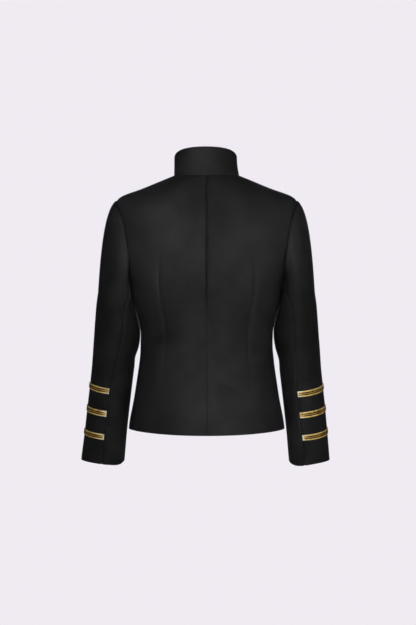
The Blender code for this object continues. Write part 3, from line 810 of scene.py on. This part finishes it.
def sleeve_tube(side):
    """Outer face of a whole sleeve, as if on the wearer's left, the directions out of it and its creases.

    Rows go from the armhole to the cuff. Columns go from the hindarm seam over the outer side to the
    forearm seam, then back to the hindarm seam next to the torso.
    """
    seam_line = np.concatenate(sleeve_columns())
    starts = armhole_points(seam_line)
    starts[:, 0] += SEAM_GAP
    cap_end, cuff = SLEEVE["drop"][[0, -1]]
    drops = spaced(cap_end, cuff, (cuff,))
    angles = np.array([ring_angles(side, drop, seam_line) for drop in drops])
    lower = sleeve_section(side, np.broadcast_to(drops[:, None], angles.shape), angles)
    span = np.linalg.norm(lower[0] - starts, axis=1, keepdims=True)
    leaving = sleeve_leaving(seam_line) * span * CAP_PULL["start"]
    arriving = sleeve_down(side, cap_end) * span * CAP_PULL["end"]
    shares = (np.arange(CAP_STEPS + 1) / CAP_STEPS) ** CAP_CROWDING
    cap = [clear_of_torso(hermite(t, starts, leaving, lower[0], arriving), t) for t in shares]
    tube = np.concatenate([cap, lower[1:]])
    angles = np.concatenate([[angles[0]] * len(cap), angles[1:]])
    inner = ((1 - np.cos(np.radians(angles))) / 2) ** CUFF_LIFT["reach"]
    below = np.clip(-tube[..., 2] - CUFF_LIFT["from"], 0, None)
    tube[..., 2] += inner * below * CUFF_LIFT["rise"] / (cuff - CUFF_LIFT["from"])
    sagging = np.clip((-tube[..., 2] - CUFF_SAG["from"]) / (cuff - CUFF_SAG["from"]), 0, 1) ** 2
    across = (angles - CUFF_SAG["angle"] + 180) % 360 - 180
    tube[..., 2] -= sagging * CUFF_SAG[side] * bell(across, CUFF_SAG["round"])
    wrapped = np.concatenate([tube[:, -2:-1], tube, tube[:, 1:2]], axis=1)
    normals = outward(wrapped, tube[-1].mean(axis=0)[:2])[:, 1:-1]
    share = bell(lengths(tube, 0), NORMAL_REACH)[..., None]
    normals = unit(normals * (1 - share) + armhole_normals(seam_line) * share)
    return tube, normals, fold_sink(side, -tube[..., 2], angles, SLEEVE_CREASES)


def braid_walls(side, middle):
    """Inner and outer face of one braid, as if on the wearer's left, and its tone at each point: partly
    tarnish and partly painted shade in the grooves, and a painted glint at the ends.
    """
    across = np.linspace(0, 1, BRAID_STEPS["across"] + 1)[:, None]
    margin = BRAID_SEAM_MARGIN / BRAID_LENGTH
    along = np.linspace(margin, 1 - margin, BRAID_STEPS["along"] + 1)[None, :]
    lean = BRAID_TILT[side] * np.sin(np.pi / 2 * (1 - along * (HIND_ANGLE - FORE_ANGLE) / HIND_ANGLE))
    drop = middle + lean + (across - 0.5) * BRAID_WIDTH
    hind, fore = seam_angles(side, drop)
    points = sleeve_section(side, drop, hind + (fore - hind) * along)
    normals = outward(points, sleeve_centre(side, np.array(middle))[:2])
    band = np.abs(np.sin(np.pi * BRAID_BANDS * across)) ** BRAID_ROUNDNESS
    chevron = np.abs((across * BRAID_BANDS) % 1 - 0.5) * BRAID_RIB["slant"]
    ribs = np.sin(2 * np.pi * (along * BRAID_LENGTH / BRAID_RIB["pitch"] + chevron))
    from_end = np.minimum(along - margin, 1 - margin - along) * BRAID_LENGTH
    turned = BRAID_TURN["rise"] * (1 - smooth_step(from_end, *BRAID_TURN["between"]))
    height = BRAID_BASE + (BRAID_BAND_HEIGHT + BRAID_RIB["height"] * ribs) * band + turned
    outer = points + normals * (BRAID_GAP + height)[..., None]
    look, from_middle = BRAID_TONE, np.abs(across - 0.5)
    # Near the ends the thread is made paler and its grooves less dark, as a painted glint
    worn = bell(from_end, look["worn_reach"])
    # The grooves are darkened partly as tarnish and partly as painted shade
    groove = (1 - band) ** look["spread"] * (1 - smooth_step(from_middle, *look["inside"]))
    tone = look["band"] + (1 - look["band"]) * groove * (1 - look["filled"] * worn)
    tone = tone + look["middle"] * np.clip(1 - BRAID_BANDS * from_middle, 0, 1)
    tone = tone - look["end"] * turned / BRAID_TURN["rise"] - look["worn"] * worn
    return points + normals * BRAID_GAP, outer, np.clip(tone, 0, 1)


def grid_uv(grid):
    """The place of each point on the flat cloth, in metres: along its row, and along the middle column."""
    middle = grid.shape[1] // 2
    u = lengths(grid, 1)
    u = u - u[:, middle:middle + 1]
    v = np.broadcast_to(lengths(grid, 0)[:, middle:middle + 1], u.shape)
    return packed(u, v)


def rim_of(rows, columns, free):
    """The border of a grid as a loop of point numbers, and of their neighbours inwards of free edges."""
    i = np.clip(np.arange(rows), "first_row" in free, rows - 1 - ("last_row" in free))
    j = np.clip(np.arange(columns), "first_column" in free, columns - 1 - ("last_column" in free))
    own = np.arange(rows * columns).reshape(rows, columns)
    for n in (own, own[np.ix_(i, j)]):
        yield np.concatenate([n[0, :-1], n[:-1, -1], n[-1, :0:-1], n[:0:-1, 0]])


def grid_faces(rows, columns, start=0):
    a = start + np.arange(rows * columns).reshape(rows, columns)[:-1, :-1].reshape(-1)
    return packed(a, a + 1, a + columns + 1, a + columns)


def new_mesh(name, points, faces):
    mesh = bpy.data.meshes.new(name)
    mesh.from_pydata(points.tolist(), [], faces)
    return mesh


def wall_mesh(name, outer, inner, free, tone):
    """A closed sheet between two grids of points, rounded along its free edges.

    tone is a value for each point of the grid that its material reads.
    """
    rows, columns = outer.shape[:2]
    count = rows * columns
    border, inside = rim_of(rows, columns, free)
    flat_outer, flat_inner = outer.reshape(-1, 3), inner.reshape(-1, 3)
    outwards = flat_outer[border] - flat_outer[inside]
    step = np.linalg.norm(outwards, axis=1)
    thickness = np.linalg.norm(flat_outer[border] - flat_inner[border], axis=1)
    bulge = outwards * (thickness / 2 / np.where(step > 0, step, 1))[:, None]
    loops = []
    for share in RIM_SHARES:
        middle = flat_outer[border] * (1 - share) + flat_inner[border] * share
        loops.append(middle + bulge * np.sqrt(1 - (2 * share - 1) ** 2))
    size = len(border)
    rings = [border] + [2 * count + k * size + np.arange(size) for k in range(len(RIM_SHARES))]
    rings.append(border + count)
    sides = [packed(a, np.roll(a, -1), np.roll(b, -1), b) for a, b in zip(rings, rings[1:])]
    faces = np.concatenate([grid_faces(rows, columns), grid_faces(rows, columns, count)[:, ::-1], *sides])
    mesh = new_mesh(name, np.concatenate([flat_outer, flat_inner, *loops]), faces.tolist())
    work = bmesh.new()
    work.from_mesh(mesh)
    bmesh.ops.recalc_face_normals(work, faces=work.faces[:])
    work.to_mesh(mesh)
    work.free()
    uv = grid_uv(outer).reshape(-1, 2)
    give_uv(mesh, np.concatenate([uv, uv] + [uv[border] + share * CLOTH for share in RIM_SHARES]))
    tones = tone.reshape(-1)
    give_tone(mesh, np.concatenate([tones, tones] + [tones[border]] * len(RIM_SHARES)))
    return mesh


def give_uv(mesh, places):
    corners = np.empty(len(mesh.loops), np.int32)
    mesh.loops.foreach_get("vertex_index", corners)
    layer = mesh.uv_layers.new(name="cut")
    layer.uv.foreach_set("vector", places[corners].astype(np.float32).reshape(-1))


def give_tone(mesh, values):
    layer = mesh.attributes.new("tone", "FLOAT", "POINT")
    layer.data.foreach_set("value", values.astype(np.float32))


def place(name, data):
    """An object in the scene."""
    obj = bpy.data.objects.new(name, data)
    bpy.context.scene.collection.objects.link(obj)
    return obj


def add_piece(mesh, material, stands_for):
    mesh.shade_smooth()
    mesh.set_sharp_from_angle(angle=np.radians(SHARP_FROM))
    mesh.materials.append(material)
    ending = "_dome" if stands_for.startswith("button") else "_cloth"
    obj = place(stands_for + ending, mesh)
    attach(obj, "root")
    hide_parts(stands_for)
    return obj


def add_cloth(name, grid, normals, creases, seams, material, darts=0, thickness=CLOTH):
    """One cloth piece with its seams and darts pressed in. Its other edges are free, and rounded.

    darts are pressed into the outer face alone, and creases bend the whole cloth. seams gives for each
    sewn edge how sharply it is drawn in, as a number or as a grid of them.
    """
    far = edge_distances(grid)
    free = sorted(far.keys() - set(seams))
    drawn = [seam_sink(far[edge]) * strength for edge, strength in seams.items()]
    pressed = darts + np.max(drawn, axis=0) + np.clip(np.min(drawn, axis=0), None, 0)
    trimmed = trim(grid, **{edge: HALF_SEAM for edge in seams}, **{edge: thickness / 2 for edge in free})
    bent = trimmed - normals * creases[..., None]
    wear = np.max([bell(far[edge], WEAR_REACH) for edge in free], axis=0)
    mesh = wall_mesh(name, bent - normals * pressed[..., None], bent - normals * thickness, free, wear)
    return add_piece(mesh, material, name)


def turned_form(profile, steps):
    """Points and faces of a form turned round Z, from a table of radius and height that starts on Z."""
    points, rings, faces = [], [], []
    for radius, height in np.array(profile) / 1000:
        count = steps if radius else 1
        rings.append(len(points) + np.arange(steps) % count)
        turn = 2 * np.pi * np.arange(count) / steps
        points += packed(radius * np.cos(turn), radius * np.sin(turn), height).tolist()
    for ring, following in zip(rings, rings[1:]):
        corners = packed(ring, following, np.roll(following, -1), np.roll(ring, -1))
        faces += [list(dict.fromkeys(face)) for face in corners.tolist()]
    return np.array(points), faces


def add_button(number, seat, facing, material):
    """A turned dome with a rolled rim."""
    points, faces = turned_form(BUTTON_PROFILE, BUTTON_STEPS)
    turn = np.array(Vector(facing).to_track_quat("Z", "Y").to_matrix())
    points = points @ turn.T + seat + facing * BUTTON_GAP
    name = f"button_{number}"
    return add_piece(new_mesh(name, points, faces), material, name)


def button_seats(front):
    """Where each button sits on the upper front's centre line, and the way it faces."""
    column = front[:, int(np.argmin(np.abs(front[0, :, 0])))]
    order = np.argsort(-column[:, 2])
    drops, line = -column[order, 2], column[order]
    for drop in BUTTON_DROPS:
        above, here, below = (
            np.array([np.interp(drop + step, drops, line[:, k]) for k in range(3)])
            for step in (-BUTTON_SEAT_REACH, 0, BUTTON_SEAT_REACH)
        )
        slope = above - below
        yield here, unit(np.array([0.0, -slope[2], slope[1]]))


def rgba(colour):
    return (*colour, 1)


def feed(tree, node, inputs):
    """Sets inputs of a node to plain values, or joins them to outputs of other nodes."""
    for name, value in inputs.items():
        if isinstance(value, bpy.types.NodeSocket):
            tree.links.new(value, node.inputs[name])
        else:
            node.inputs[name].default_value = value


def add_node(tree, kind, inputs=None, **settings):
    """Adds a shader node with its settings and inputs, and gives back its outputs."""
    node = tree.nodes.new("ShaderNode" + kind)
    for name, value in settings.items():
        setattr(node, name, value)
    feed(tree, node, inputs or {})
    return node.outputs


def noise(tree, places, scale, detail):
    return add_node(tree, "TexNoise", {"Vector": places, "Scale": scale, "Detail": detail})


def wave(tree, places, scale, waver, **more):
    """Straight bands across X that waver a little."""
    inputs = {"Vector": places, "Scale": scale, "Distortion": waver, **more}
    return add_node(tree, "TexWave", inputs, bands_direction="X")["Fac"]


def ranged(tree, value, span=(0, 1), ends=(0, 1)):
    """A value carried from one span to another."""
    limits = {"From Min": span[0], "From Max": span[1], "To Min": ends[0], "To Max": ends[1]}
    return add_node(tree, "MapRange", {"Value": value, **limits})["Result"]


def blend(tree, share, first, second, way="MIX"):
    """A mix of two colours."""
    inputs = {"Factor": share, "A": first, "B": second}
    return add_node(tree, "Mix", inputs, data_type="RGBA", blend_type=way)["Result"]


def bump(tree, height, strength, distance, **below):
    inputs = {"Height": height, "Strength": strength, "Distance": distance, **below}
    return add_node(tree, "Bump", inputs)["Normal"]


def point_tone(tree):
    """The value that a mesh keeps at each of its points."""
    return add_node(tree, "Attribute", attribute_name="tone")["Fac"]


def start_material(name):
    """A new material with its node tree and its shader."""
    material = bpy.data.materials.new(name)
    material.use_nodes = True
    return material, material.node_tree, material.node_tree.nodes["Principled BSDF"]


def wool(name, look):
    """Fine black wool: a steep twill, a soft nap, uneven tone and a slight rub along the edges."""
    material, tree, shader = start_material(name)
    places = add_node(tree, "TexCoord")
    turn = (0, 0, np.radians(look["twill_turn"]))
    turned = add_node(tree, "Mapping", {"Vector": places["UV"], "Rotation": turn})["Vector"]
    waver = {"Detail Scale": look["waver_scale"]}
    twill = wave(tree, turned, *look["twill_wave"], **waver)
    nap = noise(tree, places["UV"], *look["nap_noise"])["Fac"]
    cloud = noise(tree, places["Object"], *look["cloud_noise"])["Fac"]
    cloud = ranged(tree, cloud, look["cloud_span"])
    tone = blend(tree, cloud, rgba(look["dark"]), rgba(look["light"]))
    rub = add_node(tree, "Math", {0: point_tone(tree), 1: look["rub_share"]}, operation="MULTIPLY")
    soft = bump(tree, nap, *look["nap_bump"])
    feed(tree, shader, {
        "Base Color": blend(tree, rub["Value"], tone, rgba(look["rubbed"])),
        "Roughness": ranged(tree, nap, ends=look["roughness"]),
        "Normal": bump(tree, twill, *look["twill_bump"], Normal=soft),
        "IOR": look["ior"],
    })
    return material


def gold_lace(name, look):
    """Woven gold thread: bright bands, grooves darkened partly by tarnish and partly by painted shade,
    painted glints at the turned ends, tarnished patches, and fine threads across.
    """
    material, tree, shader = start_material(name)
    places = add_node(tree, "TexCoord")
    threads = wave(tree, places["UV"], *look["thread_wave"])
    speckle = noise(tree, places["UV"], *look["speckle_noise"])
    patches = noise(tree, places["Object"], *look["patch_noise"])["Fac"]
    ramp = tree.nodes.new("ShaderNodeValToRGB")
    feed(tree, ramp, {"Fac": point_tone(tree)})
    stops = ramp.color_ramp.elements
    for position, _ in look["tones"][1:-1]:
        stops.new(position)
    for stop, (position, colour) in zip(stops, look["tones"]):
        stop.position = position
        stop.color = rgba(colour)
    share = ranged(tree, patches, look["patch_span"])
    dulled = blend(tree, share, ramp.outputs["Color"], rgba(look["patch_dark"]), "MULTIPLY")
    feed(tree, shader, {
        "Base Color": blend(tree, look["speckle_share"], dulled, speckle["Color"], "MULTIPLY"),
        "Roughness": ranged(tree, speckle["Fac"], ends=look["roughness"]),
        "Normal": bump(tree, threads, *look["thread_bump"]),
        "IOR": look["ior"],
        "Metallic": look["metallic"],
    })
    return material


def gilt(name, look):
    """Gilt brass with a fine satin grain and slightly duller patches."""
    material, tree, shader = start_material(name)
    places = add_node(tree, "TexCoord")["Object"]
    patches = noise(tree, places, *look["patch_noise"])["Fac"]
    grain = noise(tree, places, *look["grain_noise"])["Fac"]
    feed(tree, shader, {
        "Base Color": blend(tree, patches, rgba(look["bright"]), rgba(look["dull"])),
        "Roughness": ranged(tree, patches, ends=look["roughness"]),
        "Normal": bump(tree, grain, *look["grain_bump"]),
        "Metallic": 1,
    })
    return material


def paper(name, look):
    """The plain pale floor, very slightly uneven."""
    material, tree, shader = start_material(name)
    fibres = add_node(tree, "TexNoise", {"Scale": look["fibre_scale"]})["Fac"]
    feed(tree, shader, {
        "Base Color": rgba(look["colour"]),
        "Roughness": look["roughness"],
        "Specular IOR Level": look["shine"],
        "Normal": bump(tree, fibres, *look["fibre_bump"]),
    })
    return material


def top_pull(shares):
    """How sharply the top edge is drawn in: little along the neckline, fully along the shoulder seam."""
    on_shoulder = smooth_step(shares, NECK_SHARE - NECK_PULL["fade"], NECK_SHARE)
    return NECK_PULL["strength"] + (1 - NECK_PULL["strength"]) * on_shoulder


def build_torso(looks):
    marks = HALF_GIRTH * np.array([0, NECK_SHARE, DART_SHARE, 1])
    half_shares = spaced(0, HALF_GIRTH, marks) / HALF_GIRTH
    rows = []
    for side in ("back", "front"):
        half, lower = half_panel(side, half_shares)
        grid = with_lap(half) if side == "front" else half
        more = grid.shape[1] - half.shape[1]
        shares = np.pad(half_shares, (more, 0))
        dart = np.pad(dart_sink(side, half, half_shares), ((0, 0), (more, 0)))
        out = torso_normals(side, grid, lower, shares)
        seams = {"last_column": ARMHOLE_PULL, "last_row": top_pull(shares)}
        if side == "back":
            seams["first_column"] = along_table(CENTRE_LINE, -grid[..., 2])
        other = lift_lap(grid, out) if side == "front" else grid
        rows.append((side + "_left", grid, out, dart, seams))
        rows.append((side + "_right", mirrored(other), mirrored(out), dart, seams))
    for name, grid, out, dart, seams in rows:
        creases = torso_creases(name.split("_")[0], grid)
        add_cloth(name, grid, out, creases, seams, looks["torso"], dart)
    seats = button_seats(rows[-1][1])
    buttons = [add_button(number, *seat, looks["button"]) for number, seat in enumerate(seats, 1)]


def build_collar(looks):
    grid = collar_grid()
    share = bell(lengths(grid, 0), NORMAL_REACH)[..., None]
    out = unit(outward(grid) * (1 - share) + neck_normals(grid[0]) * share)
    creases = np.zeros(grid.shape[:2])
    seams = {"first_row": NECK_PULL["strength"]}
    obj = add_cloth("collar", grid, out, creases, seams, looks["collar"], thickness=COLLAR_CLOTH)


def build_sleeves(looks):
    top_count = len(sleeve_columns()[0])
    parts = {"top": slice(0, top_count), "under": slice(top_count - 1, None)}
    seams = {"first_row": ARMHOLE_PULL, "first_column": 1, "last_column": 1}
    for side, turn in TURNS.items():
        tube, out, creases = sleeve_tube(side)
        tube, out = turn(tube), turn(out)
        for part, cut in parts.items():
            name = f"sleeve_{part}_{side}"
            add_cloth(name, tube[:, cut], out[:, cut], creases[:, cut], seams, looks["sleeve"])
        for number, middle in enumerate(BRAID_DROPS[side], 1):
            # The braid's tone: tarnish with painted shade in its grooves, and a painted glint at its ends
            inner, outer, tarnish_and_painted_light = braid_walls(side, middle)
            name = f"braid_{side}_{number}"
            mesh = wall_mesh(name, turn(outer), turn(inner), (), tarnish_and_painted_light)
            add_piece(mesh, looks["braid"], name)


def make_looks():
    # The torso's copy of the wool is made lighter: painted light for the stronger light on the torso than
    # on the sleeves
    torso = {name: tuple(TORSO_PAINTED_LIGHT * np.array(WOOL[name])) for name in ("dark", "light")}
    collar = {"twill_turn": WOOL["twill_turn"] + COLLAR_TURN}
    return {
        "torso": wool("black_wool", {**WOOL, **torso}),
        "sleeve": wool("black_wool_sleeve", {**WOOL, "cloud_noise": SLEEVE_CLOUD}),
        "collar": wool("black_wool_collar", {**WOOL, **collar}),
        "braid": gold_lace("gold_lace", LACE),
        "button": gilt("gilt_brass", GILT),
    }


def add_floor():
    """A round sheet of pale paper far below, with its rim curving up."""
    points, faces = turned_form(FLOOR_PROFILE, FLOOR_STEPS)
    mesh = new_mesh("floor", points + (0, 0, FLOOR_LEVEL), faces)
    mesh.shade_smooth()
    mesh.materials.append(paper("pale_paper", PAPER))
    floor = place("floor", mesh)
    lit = bpy.data.collections.new("floor_only")
    lit.objects.link(floor)
    add_light(FLOOR_LIGHT).light_linking.receiver_collection = lit


def add_light(row):
    light = dict(zip(LIGHT_COLUMNS, row))
    data = bpy.data.lights.new(light["name"], "AREA")
    data.shape = "ELLIPSE"
    data.size, data.size_y = light["size"]
    data.energy = light["watts"]
    data.spread = np.radians(light["spread"])
    obj = place(light["name"], data)
    obj.location = light["place"]
    aim = Vector(light["aim"]) - Vector(light["place"])
    obj.rotation_mode = "QUATERNION"
    obj.rotation_quaternion = aim.to_track_quat("-Z", "Y")
    return obj


def set_world():
    """Soft light from all round, most from behind the camera, and a flat pale backdrop."""
    world = bpy.data.worlds.new("studio")
    bpy.context.scene.world = world
    world.use_nodes = True
    tree = world.node_tree
    places = add_node(tree, "TexCoord")["Generated"]
    behind = add_node(tree, "SeparateXYZ", {"Vector": places})["Y"]
    strength = ranged(tree, behind, AMBIENT["between"], AMBIENT["strength"])
    ambient = tree.nodes["Background"]
    feed(tree, ambient, {"Color": rgba(AMBIENT_COLOUR), "Strength": strength})
    backdrop = add_node(tree, "Background", {"Color": rgba(BACKDROP_COLOUR)})["Background"]
    seen = add_node(tree, "LightPath")["Is Camera Ray"]
    mix = add_node(tree, "MixShader", {"Fac": seen, 1: ambient.outputs["Background"], 2: backdrop})
    feed(tree, tree.nodes["World Output"], {"Surface": mix["Shader"]})
    bpy.context.scene.view_settings.view_transform = "Standard"


def add_camera():
    data = bpy.data.cameras.new("camera")
    data.sensor_width = SENSOR
    data.lens = SENSOR * CAMERA_PLACE[1] / VIEW_HEIGHT
    data.clip_start, data.clip_end = CLIP
    camera = place("camera", data)
    camera.location = CAMERA_PLACE
    camera.rotation_euler = (np.pi / 2, 0, np.pi)
    bpy.context.scene.camera = camera


add_camera()
set_world()
for row in LIGHTS:
    add_light(row)
add_floor()
made_looks = make_looks()
build_torso(made_looks)
build_collar(made_looks)
build_sleeves(made_looks)
